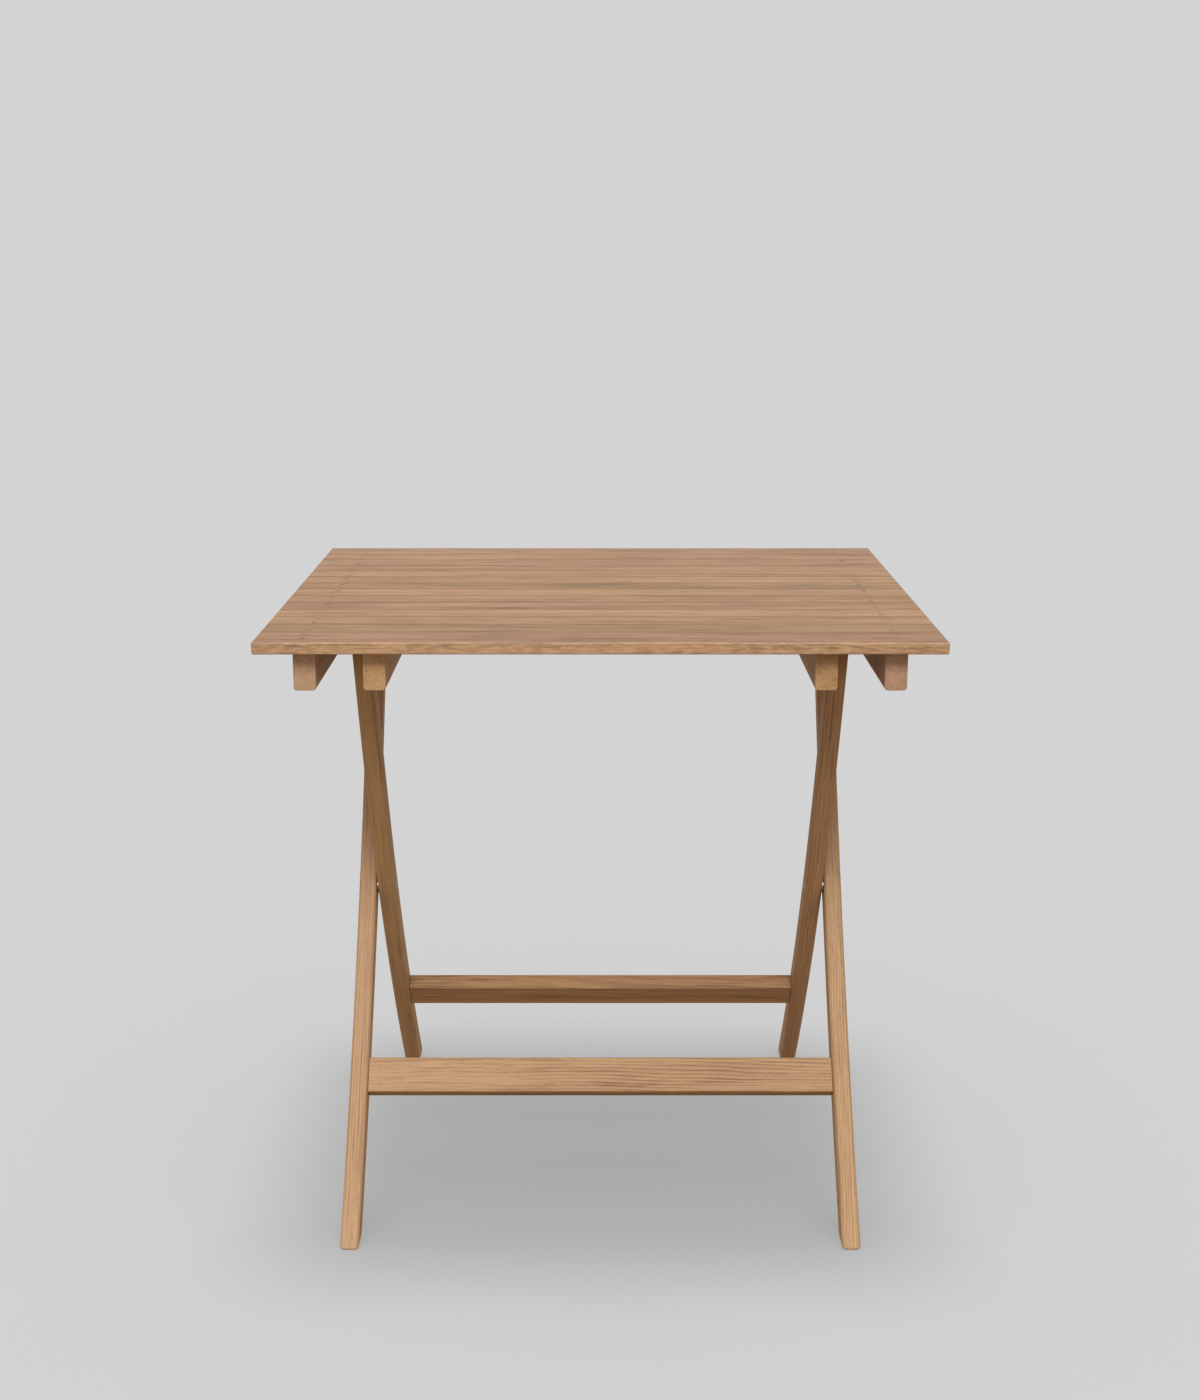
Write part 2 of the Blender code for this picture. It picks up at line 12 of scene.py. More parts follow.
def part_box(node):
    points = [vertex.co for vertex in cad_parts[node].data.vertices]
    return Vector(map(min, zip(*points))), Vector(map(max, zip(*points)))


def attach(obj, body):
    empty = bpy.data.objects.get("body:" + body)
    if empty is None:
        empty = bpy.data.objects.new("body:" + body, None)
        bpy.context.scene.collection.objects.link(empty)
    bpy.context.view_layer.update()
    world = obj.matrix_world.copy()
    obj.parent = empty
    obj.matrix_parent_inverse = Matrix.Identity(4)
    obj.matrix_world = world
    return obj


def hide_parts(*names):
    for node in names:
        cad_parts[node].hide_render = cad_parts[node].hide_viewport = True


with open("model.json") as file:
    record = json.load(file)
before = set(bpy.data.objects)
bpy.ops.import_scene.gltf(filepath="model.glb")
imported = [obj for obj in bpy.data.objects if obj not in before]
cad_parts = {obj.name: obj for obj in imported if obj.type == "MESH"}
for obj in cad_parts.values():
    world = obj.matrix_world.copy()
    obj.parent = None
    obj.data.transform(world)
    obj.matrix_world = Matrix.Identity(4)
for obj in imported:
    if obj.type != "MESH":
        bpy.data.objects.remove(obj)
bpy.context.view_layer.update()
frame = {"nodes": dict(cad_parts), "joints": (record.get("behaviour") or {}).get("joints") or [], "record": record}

JOINTS = {joint["name"]: joint for joint in frame["joints"]}
MOUNTS = {mount["name"]: mount for mount in frame["record"]["mounts"]}
SIDES = {"left": -1, "right": 1}

# Axes of a bar, in the order along the grain, across it and through it.
ALONG_X = (0, 1, 2)
ALONG_Y = (1, 0, 2)

SLAT_EDGE = 0.0016
SLAT_WANDER = 0.00022  # how far a slat's long edges stray from straight
BATTEN_EDGE = 0.0035
BATTEN_ARRIS = 0.0010  # the battens' upper edges and ends are hardly rounded
LEG_EDGE = 0.0040
LEG_WIDTH = 0.028
STRETCHER_EDGE = 0.0025
WANDER_WAVES = 7.0  # per metre, along a slat's edges
WANDER_APART = 7.3  # between the wander of one bar and the next
STRETCHER_HEIGHT = 0.150
STRETCHER_WIDTH = 0.042
STRETCHER_THICKNESS = 0.021
TENON_WIDTH = 0.030
TENON_THICKNESS = 0.011
TENON_LENGTH = 0.012
CLEARANCE = 0.0003
STRETCHER_END_EDGE = 0.0004
TENON_EDGE = 0.0005
THROUGH = 0.030  # a hole deeper than what it is cut in
CAP_END_TURN = 88.5  # degrees round a leg's top at which its last, small flat lies
END_STEPS = 4
CORNER_STEPS = 4
BAR_STATIONS = 28
LEG_STATIONS = 56
LEG_CAP_STEPS = 10
TURNED_STEPS = 48

PLUG_RADIUS = 0.0031
PLUG_HOLE_RADIUS = 0.0033
PLUG_DEPTH = 0.004
PLUG_STEPS = 28
PLUG_CHAMFER = 0.00040
PLUG_LEAN = 0.03  # slope of a plug's top, at most
PLUG_PROUD = (0.00008, 0.00026)  # least and most height of a plug above its slat
PLUG_TURN = 0.5  # radians of a plug's grain from the slat's, at most
PLUG_TONE = (0.8, 2.8)  # darker than the slats, which have -1 to 1
PLUG_BOARD_HALF = 0.02  # a plug's own edges are too near to be worn
PLUG_SPREAD = 0.0105  # of a slat's two plugs from its middle line
PLUG_ROW = 0.0015  # outward from an outer batten's middle
EDGE_SLAT_SHIFT = 0.004  # of an edge slat's plugs, away from the table's edge

RECESS_RADIUS = 0.0075
RECESS_DEPTH = 0.0030
SHANK_HOLE_RADIUS = 0.0033
BARREL_HOLE_RADIUS = 0.0048
BARREL_HOLE_DEPTH = 0.0185
PIN_HOLE_RADIUS = 0.0048
PIN_HOLE_DEPTH = 0.0143
GROOVE_HALF_HEIGHT = 0.0049
GROOVE_DEPTH = 0.0090
SCREW_HOLE_RADIUS = 0.0025
SCREW_HEAD_RADIUS = 0.0045
SCREW_HEAD_DEPTH = 0.0029
SCREW_HOLE_DEPTH = 0.0466
OVERRUN = 0.001  # how far a cutter runs past the face that it opens

# Seeds of the pieces' own character. A slat's is its number from the front.
BATTEN_SEEDS = {"inner": 23, "outer": 33}
INNER_LEG_SEED = 43
OUTER_LEG_SEED = 53
REAR_STRETCHER_SEED = 61
FRONT_STRETCHER_SEED = 62

SMOOTH_ANGLE = 35  # degrees between faces, up to which they are shaded as one surface
STEEL_EDGE = 0.00022
WELD_DISTANCE = 0.000005

# Studio: the floor's colour is chosen so that the lit floor and the plain surroundings look the same.
FLOOR_SIZE = 200.0
FLOOR_SEGMENTS = 8
FLOOR_LIGHT = (0.1608, 0.1608, 0.1608, 1.0)
FLOOR_DARK = (0.1596, 0.1596, 0.1596, 1.0)
WORLD_STRENGTH = 0.651

# Colour of the surroundings by the height of the direction looked in, from -1 straight down. Below
# the horizon they are dimmer and warmer, as where a table shades the floor that it stands on.
SURROUNDINGS = (
    (-1.0, (0.34, 0.235, 0.160, 1.0)),
    (-0.12, (0.84, 0.630, 0.470, 1.0)),
    (-0.02, (1.0, 1.0, 1.0, 1.0)),
)

# Each soft light's strength, spread and tilt towards the front in degrees, what it lights and
# if it casts shadows.
SOFT_LIGHTS = {
    "overhead_softbox": (0.78, 26.0, 0.0, "object", True),
    "front_softbox": (2.20, 22.0, 45.0, "object", True),
    "floor_softbox": (3.20, 17.0, -1.5, "floor", True),
    "floor_fill": (7.55, 60.0, 0.0, "floor", False),
}

CAMERA_LENS = 50.0  # millimetres, as is the sensor's width
CAMERA_SENSOR = 36.0
CAMERA_PLACE = (-0.0004, -2.312, 1.132)
CAMERA_TILT = 76.63  # degrees from looking straight down
CAMERA_REACH = 1000.0


# ---- mesh helpers ------------------------------------------------------------------------------


def object_from(name, bm):
    mesh = bpy.data.meshes.new(name)
    bm.to_mesh(mesh)
    bm.free()
    piece = bpy.data.objects.new(name, mesh)
    bpy.context.scene.collection.objects.link(piece)
    return piece


def rounded_section(half_across, half_through, radii):
    """Points of a rectangle with round corners, as (across, through), in order round it.

    The radii are those of the corners at (+, +), (-, +), (-, -) and (+, -).
    """
    signs = ((1, 1), (-1, 1), (-1, -1), (1, -1))
    points = []
    for corner, ((sign_across, sign_through), radius) in enumerate(zip(signs, radii)):
        for step in range(CORNER_STEPS + 1):
            turn = (corner + step / CORNER_STEPS) * math.pi / 2
            across = sign_across * (half_across - radius) + radius * math.cos(turn)
            through = sign_through * (half_through - radius) + radius * math.sin(turn)
            points.append((across, through))
    return points


def add_tube(bm, rings):
    """A closed tube through rings of points, with a flat face on each end."""
    loops = [[bm.verts.new(point) for point in ring] for ring in rings]
    count = len(rings[0])
    for near, far in zip(loops, loops[1:]):
        for index in range(count):
            after = (index + 1) % count
            bm.faces.new((near[index], near[after], far[after], far[index]))
    bm.faces.new(reversed(loops[0]))
    bm.faces.new(loops[-1])


def tube(name, *ring_lists):
    """One mesh of one or more closed tubes."""
    bm = bmesh.new()
    for rings in ring_lists:
        add_tube(bm, rings)
    bmesh.ops.recalc_face_normals(bm, faces=bm.faces)
    return object_from(name, bm)


def apply_modifiers(piece):
    bpy.context.view_layer.update()
    depsgraph = bpy.context.evaluated_depsgraph_get()
    mesh = bpy.data.meshes.new_from_object(piece.evaluated_get(depsgraph))
    old = piece.data
    piece.modifiers.clear()
    piece.data = mesh
    bpy.data.meshes.remove(old)
    mesh.name = piece.name


def carve(piece, cutters):
    """Cut the shapes out of a piece, and remove them."""
    for cutter in cutters:
        difference = piece.modifiers.new("Carve", "BOOLEAN")
        difference.object = cutter
    apply_modifiers(piece)
    for cutter in cutters:
        bpy.data.objects.remove(cutter, do_unlink=True)


def shade(piece):
    """Smooth shading that keeps arrises crisp and flat faces flat."""
    piece.data.shade_smooth()
    piece.data.set_sharp_from_angle(angle=math.radians(SMOOTH_ANGLE))
    weighted = piece.modifiers.new("Flat faces", "WEIGHTED_NORMAL")
    weighted.keep_sharp = True
    apply_modifiers(piece)


def store(mesh, name, values):
    attribute = mesh.attributes.new(name, "FLOAT_VECTOR", "POINT")
    attribute.data.foreach_set("vector", [number for value in values for number in value])


def store_board(piece, coordinates, half, seed, sideways=False, gap=(0.0, 0.0, 0.0)):
    """Where each vertex lies in its board, the board's half sizes, and what sets it apart.

    A board with its heart sideways shows straight grain on its broad face. Gap says if another
    board lies just in front of it and just behind it.
    """
    dice = random.Random(seed)
    mesh = piece.data
    count = len(mesh.vertices)
    board = (dice.uniform(0, 1), dice.uniform(-1, 1), dice.uniform(-1, 1))
    heart = (0.0, dice.uniform(-0.045, 0.045), -dice.uniform(0.045, 0.11))
    if sideways:
        heart = (0.0, dice.choice((-1, 1)) * dice.uniform(0.04, 0.10), -dice.uniform(0.015, 0.05))
    store(mesh, "gap", [gap] * count)
    store(mesh, "grain", coordinates)
    store(mesh, "half", [half] * count)
    store(mesh, "board", [board] * count)
    store(mesh, "heart", [heart] * count)


def dress(piece, material, body, slot, *nodes):
    """Give a finished piece its material and its body, and hide the nodes that it stands for. The slot is not
    used.
    """
    piece.data.materials.clear()
    piece.data.materials.append(material)
    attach(piece, body)
    if nodes:
        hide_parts(*nodes)


# ---- straight bars -----------------------------------------------------------------------------


def end_stations(half_along, radius):
    """(distance along, inset) of the rings that round off a bar's near end."""
    stations = []
    for step in range(END_STEPS):
        turn = step / END_STEPS * math.pi / 2
        stations.append((radius * (1 - math.cos(turn)) - half_along, radius * (1 - math.sin(turn))))
    return stations


def bar_rings(half, radii, end_radius, wander, seed):
    """Rings of a straight bar about its middle, as (along, across, through)."""
    half_along, half_across, half_through = half
    near = end_stations(half_along, end_radius)
    straight = half_along - end_radius
    stations = list(near)
    for step in range(BAR_STATIONS + 1):
        stations.append((straight * (2 * step / BAR_STATIONS - 1), 0.0))
    stations += [(-along, inset) for along, inset in reversed(near)]
    rings = []
    for along, inset in stations:
        section = rounded_section(half_across - inset, half_through - inset, radii)
        spot = Vector((along * WANDER_WAVES, seed * WANDER_APART, 0.5))
        lean = noise.noise(spot) * wander
        narrower = 1 - abs(noise.noise(spot + Vector((0, 0, 9.1)))) * wander / half_across
        rings.append([Vector((along, across * narrower + lean, through)) for across, through in section])
    return rings


def bar_box(node, axes):
    """Middle and half sizes of a CAD bar, the half sizes in the order of the bar's axes."""
    low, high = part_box(node)
    half = (high - low) / 2
    return (low + high) / 2, tuple(half[axis] for axis in axes)


def placed(point, middle, axes):
    """A point given along, across and through a bar, in the table's own frame."""
    place = middle.copy()
    for value, axis in zip(point, axes):
        place[axis] += value
    return place


def bar(node, axes, radii, end_radius, wander, seed, cutters=(), **character):
    """A finished bar that stands for a CAD node and fills its box."""
    middle, half = bar_box(node, axes)
    rings = bar_rings(half, radii, end_radius, wander, seed)
    piece = tube("wood_" + node, [[placed(point, middle, axes) for point in ring] for ring in rings])
    if cutters:
        carve(piece, cutters)
    shade(piece)
    coordinates = [[(vertex.co - middle)[axis] for axis in axes] for vertex in piece.data.vertices]
    store_board(piece, coordinates, half, seed, **character)
    return piece


# ---- turned shapes and cutters -----------------------------------------------------------------


def turned_rings(profile, centre, side, steps=TURNED_STEPS):
    """Rings about the cross axis through a (y, z) centre, from (radius, distance from the middle)."""
    rings = []
    for radius, reach in profile:
        ring = []
        for step in range(steps):
            turn = 2 * math.pi * step / steps
            along = centre[0] + radius * math.cos(turn)
            up = centre[1] + radius * math.sin(turn)
            ring.append(Vector((side * reach, along, up)))
        rings.append(ring)
    return rings


def head_hole(centre, side, face, inward, length, radius):
    """Recess for a head let into a face, with a plain hole beyond it."""
    profile = [
        (RECESS_RADIUS, face - inward * OVERRUN),
        (RECESS_RADIUS, face + inward * RECESS_DEPTH),
        (radius, face + inward * RECESS_DEPTH),
        (radius, face + inward * length),
    ]
    return tube("head_hole", turned_rings(profile, centre, side))


def plain_hole(centre, side, start, end, radius):
    return tube("plain_hole", turned_rings([(radius, start), (radius, end)], centre, side))


def screw_hole(centre, side, face):
    """Countersunk hole from a leg's outer face into the stretcher."""
    profile = [
        (SCREW_HEAD_RADIUS, face + OVERRUN),
        (SCREW_HEAD_RADIUS, face),
        (SCREW_HOLE_RADIUS, face - SCREW_HEAD_DEPTH),
        (SCREW_HOLE_RADIUS, face - SCREW_HOLE_DEPTH),
    ]
    return tube("screw_hole", turned_rings(profile, centre, side))


def turned_bar_cutter(half, centre, turn):
    """A plain bar across the table, turned about X."""
    bm = bmesh.new()
    bmesh.ops.create_cube(bm, size=1.0)
    bmesh.ops.scale(bm, vec=Vector(half) * 2, verts=bm.verts)
    bmesh.ops.transform(bm, matrix=Matrix.Rotation(turn, 4, "X"), verts=bm.verts)
    bmesh.ops.translate(bm, vec=(0.0, centre[0], centre[1]), verts=bm.verts)
    return object_from("bar_cutter", bm)


def groove_cutter(side, face, half_run, height):
    """Round-ended groove along a batten's inner face."""
    ring = []
    for end in (1, -1):
        for step in range(TURNED_STEPS // 2 + 1):
            turn = math.pi * step / (TURNED_STEPS // 2) - end * math.pi / 2
            along = end * half_run + GROOVE_HALF_HEIGHT * math.cos(turn)
            ring.append((along, height + GROOVE_HALF_HEIGHT * math.sin(turn)))
    rings = [
        [Vector((side * reach, along, up)) for along, up in ring]
        for reach in (face - OVERRUN, face + GROOVE_DEPTH)
    ]
    return tube("groove_cutter", rings)


# ---- geometry of the bowed legs ----------------------------------------------------------------

PIVOT = tuple(JOINTS["top_pivot"]["pos_m"][1:])
CROSSING = tuple(JOINTS["leg_crossing"]["pos_m"][1:])
FOOT = tuple(MOUNTS["foot_rear_left"]["pos_m"][1:])
GUIDE = (-PIVOT[0], PIVOT[1])  # of the pins at the tops of the outer legs


def arc_through(first, second, third):
    """Centre and radius of the circle through three (y, z) points."""
    (y1, z1), (y2, z2), (y3, z3) = first, second, third
    square1 = y1 * y1 + z1 * z1
    square2 = y2 * y2 + z2 * z2
    square3 = y3 * y3 + z3 * z3
    scale = 2 * (y1 * (z2 - z3) + y2 * (z3 - z1) + y3 * (z1 - z2))
    centre_y = (square1 * (z2 - z3) + square2 * (z3 - z1) + square3 * (z1 - z2)) / scale
    centre_z = (square1 * (y3 - y2) + square2 * (y1 - y3) + square3 * (y2 - y1)) / scale
    return (centre_y, centre_z), math.hypot(y1 - centre_y, z1 - centre_z)


ARC_CENTRE, ARC_RADIUS = arc_through(PIVOT, CROSSING, FOOT)


def arc_point(radius, angle):
    """Point on a circle about the arc's centre, the angle being measured down from its level."""
    return (ARC_CENTRE[0] - radius * math.cos(angle), ARC_CENTRE[1] - radius * math.sin(angle))


def arc_angle(radius, height):
    return math.asin((ARC_CENTRE[1] - height) / radius)


TOP_ANGLE = arc_angle(ARC_RADIUS, PIVOT[1])
FOOT_ANGLE = arc_angle(ARC_RADIUS, 0.0)


def leg_cap_ring(half_thick, beyond):
    """Section of a leg's round top, at a distance beyond the pivot, as (x, outward) points."""
    flat = LEG_WIDTH / 2 - LEG_EDGE
    limit = math.pi / 2 if beyond <= flat else math.acos(min((beyond - flat) / LEG_EDGE, 1.0))
    quarter = []
    for step in range(CORNER_STEPS + 1):
        turn = limit * (1 - step / CORNER_STEPS)
        reach = flat + LEG_EDGE * math.cos(turn)
        wide = math.sqrt(max(reach * reach - beyond * beyond, 0.0))
        quarter.append((half_thick - LEG_EDGE + LEG_EDGE * math.sin(turn), wide))
    points = quarter + [(-x, wide) for x, wide in reversed(quarter)]
    return points + [(x, -wide) for x, wide in reversed(points)]


def leg_rings(half_thick):
    """Rings of an inner leg about its own middle, as (x, y, z), from the round top to the level foot."""
    rings = []
    tangent = (-math.sin(TOP_ANGLE), math.cos(TOP_ANGLE))
    outward = (-math.cos(TOP_ANGLE), -math.sin(TOP_ANGLE))
    for step in range(LEG_CAP_STEPS):
        beyond = LEG_WIDTH / 2 * math.sin(math.radians(CAP_END_TURN) * (1 - step / LEG_CAP_STEPS))
        ring = []
        for x, out in leg_cap_ring(half_thick, beyond):
            along = PIVOT[0] + tangent[0] * beyond + outward[0] * out
            up = PIVOT[1] + tangent[1] * beyond + outward[1] * out
            ring.append(Vector((x, along, up)))
        rings.append(ring)
    section = leg_cap_ring(half_thick, 0.0)
    for step in range(LEG_STATIONS + 1):
        ring = []
        for x, out in section:
            radius = ARC_RADIUS + out
            low = arc_angle(radius, LEG_EDGE)
            along, up = arc_point(radius, TOP_ANGLE + (low - TOP_ANGLE) * step / LEG_STATIONS)
            ring.append(Vector((x, along, up)))
        rings.append(ring)
    for step in range(1, END_STEPS + 1):
        turn = step / END_STEPS * math.pi / 2
        height = LEG_EDGE * (1 - math.sin(turn))
        inset = LEG_EDGE * (1 - math.cos(turn))
        ring = []
        for x, out in section:
            out *= 1 - inset / (LEG_WIDTH / 2)
            along, up = arc_point(ARC_RADIUS + out, arc_angle(ARC_RADIUS + out, height))
            ring.append(Vector((x * (1 - inset / half_thick), along, up)))
        rings.append(ring)
    return rings


def leg(node, reach, seed, cutters):
    """A bowed leg that stands for a CAD node. Reach is 1 for the inner frame's, -1 for the outer's."""
    low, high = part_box(node)
    middle = (low.x + high.x) / 2
    half_thick = (high.x - low.x) / 2
    rings = [
        [Vector((middle + point.x, reach * point.y, point.z)) for point in ring]
        for ring in leg_rings(half_thick)
    ]
    piece = tube("wood_" + node, rings)
    carve(piece, cutters)
    shade(piece)
    half_along = ARC_RADIUS * (FOOT_ANGLE - TOP_ANGLE) / 2
    middle_angle = (FOOT_ANGLE + TOP_ANGLE) / 2
    coordinates = []
    for vertex in piece.data.vertices:
        inward = ARC_CENTRE[0] - reach * vertex.co.y
        below = ARC_CENTRE[1] - vertex.co.z
        along = (math.atan2(below, inward) - middle_angle) * ARC_RADIUS
        coordinates.append((along, math.hypot(inward, below) - ARC_RADIUS, vertex.co.x - middle))
    store_board(piece, coordinates, (half_along, LEG_WIDTH / 2, half_thick), seed)
    return piece


def stretcher_place(reach):
    """Centre of a frame's stretcher, as (y, z), and its turn about X to lie in line with the legs."""
    angle = arc_angle(ARC_RADIUS, STRETCHER_HEIGHT)
    along, up = arc_point(ARC_RADIUS, angle)
    return (reach * along, up), reach * angle


def stretcher(node, reach, seed, leg_face):
    """A cross bar with a tenon at each end, which stands for a CAD node."""
    centre, turn = stretcher_place(reach)
    _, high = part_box(node)
    shoulder = high.x - TENON_LENGTH - CLEARANCE
    half = (shoulder, STRETCHER_THICKNESS / 2, STRETCHER_WIDTH / 2)
    rings = bar_rings(half, (STRETCHER_EDGE,) * 4, STRETCHER_END_EDGE, 0.0, seed)
    section = rounded_section(TENON_THICKNESS / 2, TENON_WIDTH / 2, (TENON_EDGE,) * 4)
    near, inner_near, inner_far, far = [
        [Vector((along, across, through)) for across, through in section]
        for along in (-high.x, -shoulder, shoulder, high.x)
    ]
    rings = [near, inner_near, *rings, inner_far, far]
    lie = Matrix.Translation((0.0, centre[0], centre[1])) @ Matrix.Rotation(turn, 4, "X")
    piece = tube("wood_" + node, [[lie @ point for point in ring] for ring in rings])
    carve(piece, [screw_hole(centre, side, leg_face) for side in SIDES.values()])
    shade(piece)
    stand = lie.inverted()
    coordinates = [tuple(stand @ vertex.co) for vertex in piece.data.vertices]
    store_board(piece, coordinates, half, seed)
    return piece


# ---- materials ---------------------------------------------------------------------------------


class Shading:
    """A material's nodes, built with short calls that return output sockets."""

    def __init__(self, name):
        self.material = bpy.data.materials.new(name)
        self.material.use_nodes = True
        self.tree = self.material.node_tree
        self.shader = self.tree.nodes["Principled BSDF"]

    def feed(self, socket, value):
        if isinstance(value, bpy.types.NodeSocket):
            self.tree.links.new(value, socket)
        else:
            socket.default_value = value

    def math(self, operation, first, second=0.0, third=0.0, clamp=False):
        node = self.tree.nodes.new("ShaderNodeMath")
        node.operation = operation
        node.use_clamp = clamp
        for socket, value in zip(node.inputs, (first, second, third)):
            self.feed(socket, value)
        return node.outputs["Value"]

    def total(self, *terms):
        """The sum of some values, each times its share."""
        result = None
        for value, share in terms:
            part = self.math("MULTIPLY", value, share)
            result = part if result is None else self.math("ADD", result, part)
        return result

    def vector(self, operation, first, second=(0.0, 0.0, 0.0)):
        node = self.tree.nodes.new("ShaderNodeVectorMath")
        node.operation = operation
        self.feed(node.inputs[0], first)
        self.feed(node.inputs[1], second)
        return node.outputs["Value" if operation == "LENGTH" else "Vector"]

    def attribute(self, name):
        node = self.tree.nodes.new("ShaderNodeAttribute")
        node.attribute_name = name
        return node.outputs["Vector"]

    def split(self, vector):
        node = self.tree.nodes.new("ShaderNodeSeparateXYZ")
        self.feed(node.inputs["Vector"], vector)
        return node.outputs

    def joined(self, x, y, z):
        node = self.tree.nodes.new("ShaderNodeCombineXYZ")
        for socket, value in zip(node.inputs, (x, y, z)):
            self.feed(socket, value)
        return node.outputs["Vector"]

    def noise(self, place, scales, detail=2.0, rough=0.5, colour=False):
        """Noise whose grains measure about 1 / scales metres along each axis."""
        node = self.tree.nodes.new("ShaderNodeTexNoise")
        self.feed(node.inputs["Vector"], self.vector("MULTIPLY", place, scales))
        node.inputs["Scale"].default_value = 1.0
        node.inputs["Detail"].default_value = detail
        node.inputs["Roughness"].default_value = rough
        return node.outputs["Color" if colour else "Fac"]

    def step(self, value, low, high, to_low=0.0, to_high=1.0):
        """A smooth change between two values of the input."""
        node = self.tree.nodes.new("ShaderNodeMapRange")
        node.interpolation_type = "SMOOTHSTEP"
        for socket, number in zip(node.inputs, (value, low, high, to_low, to_high)):
            self.feed(socket, number)
        return node.outputs["Result"]

    def mix(self, share, first, second, blend="MIX"):
        node = self.tree.nodes.new("ShaderNodeMix")
        node.data_type = "RGBA"
        node.blend_type = blend
        self.feed(node.inputs["Factor"], share)
        self.feed(node.inputs["A"], first)
        self.feed(node.inputs["B"], second)
        return node.outputs["Result"]

    def bump(self, height, strength, distance):
        node = self.tree.nodes.new("ShaderNodeBump")
        node.inputs["Strength"].default_value = strength
        node.inputs["Distance"].default_value = distance
        self.feed(node.inputs["Height"], height)
        return node.outputs["Normal"]

    def finish(self, colour, roughness, normal):
        self.feed(self.shader.inputs["Base Color"], colour)
        self.feed(self.shader.inputs["Roughness"], roughness)
        self.feed(self.shader.inputs["Normal"], normal)
        return self.material


# Figure of the wood, as noise: grains per metre along the grain, across it and through it, then
# detail and roughness.
SWAY = ((2.2, 11.0, 11.0), 2.0, 0.5)
WAVER = ((16.0, 90.0, 90.0), 2.0, 0.5)
RING_SHARE = ((3.0, 42.0, 42.0), 2.0, 0.5)
FIBRES = ((30.0, 900.0, 900.0), 3.0, 0.62)
STREAKS = ((7.0, 290.0, 290.0), 2.0, 0.55)
HAIRS = ((15.0, 760.0, 760.0), 2.0, 0.5)
PORES = ((150.0, 2600.0, 2600.0), 1.0, 0.5)
BANDS = ((3.2, 105.0, 105.0), 3.0, 0.6)
CLOUDS = ((6.0, 16.0, 16.0), 2.0, 0.5)
ROSY = ((1.7, 21.0, 21.0), 2.0, 0.5)
RUB = ((60.0, 240.0, 240.0), 3.0, 0.6)
EDGE_FIGURE = ((62.0, 900.0, 420.0), 3.0, 0.6)

# How much each part of the figure darkens the wood.
FIBRE_DEPTH = 0.9
STREAK_DEPTH = 0.32
HAIR_DEPTH = 0.28
BAND_DEPTH = 0.95
CLOUD_DEPTH = 0.35
BASE_DEPTH = 0.18
TONE_DEPTH = 0.16  # from board to board

SWAY_REACH = 0.030  # metres by which the growth rings bend
WAVER_REACH = 0.0022
BOARD_SHIFT = (41.0, 17.0, 29.0)  # moves each board to its own place in the noise
YELLOWISH = (1.0, 1.0, 0.93, 1.0)
ROSY_TINT = (1.02, 0.975, 1.0, 1.0)
PORE_COLOUR = (0.10, 0.048, 0.020, 1.0)
# Painted shade, dark brown, along the slats' long edges where they meet. It stands in for the shade in the narrow
# gaps between them.
GAP_SHADE = (0.215, 0.082, 0.023, 1.0)  # in the gaps between the slats
EDGE_FACE_LIGHT = (0.520, 0.320, 0.180, 1.0)  # painted light on the front face of the front slat and the back face of the back slat


def ring_pattern(s, grain, place, ring_width):
    """Darker late wood of the growth rings about the board's heart, stronger here and weaker there."""
    middle = (0.5, 0.5, 0.5)
    sway = s.vector("SUBTRACT", s.noise(place, *SWAY, colour=True), middle)
    waver = s.vector("SUBTRACT", s.noise(place, *WAVER, colour=True), middle)
    bend = s.vector("ADD", s.vector("MULTIPLY", sway, (0.0, SWAY_REACH, SWAY_REACH)),
                    s.vector("MULTIPLY", waver, (0.0, WAVER_REACH, WAVER_REACH)))
    from_heart = s.vector("ADD", s.vector("SUBTRACT", grain, s.attribute("heart")), bend)
    radius = s.vector("LENGTH", s.vector("MULTIPLY", from_heart, (0.0, 1.0, 1.0)))
    phase = s.math("FRACT", s.math("DIVIDE", radius, ring_width))
    late = s.math("MULTIPLY", s.step(phase, 0.25, 0.86), s.step(phase, 0.90, 1.0, 1.0, 0.0))
    share = s.step(s.noise(place, *RING_SHARE), 0.34, 0.66, 0.25, 1.0)
    return s.math("MULTIPLY", late, share)


def arris_distance(s, reach):
    """Distance from the nearest arris, out of the distances from the three pairs of faces."""
    along, across, through = reach
    least = s.math("MINIMUM", s.math("MINIMUM", along, across), through)
    most = s.math("MAXIMUM", s.math("MAXIMUM", along, across), through)
    total = s.math("ADD", s.math("ADD", along, across), through)
    return s.math("SUBTRACT", s.math("SUBTRACT", total, least), most)


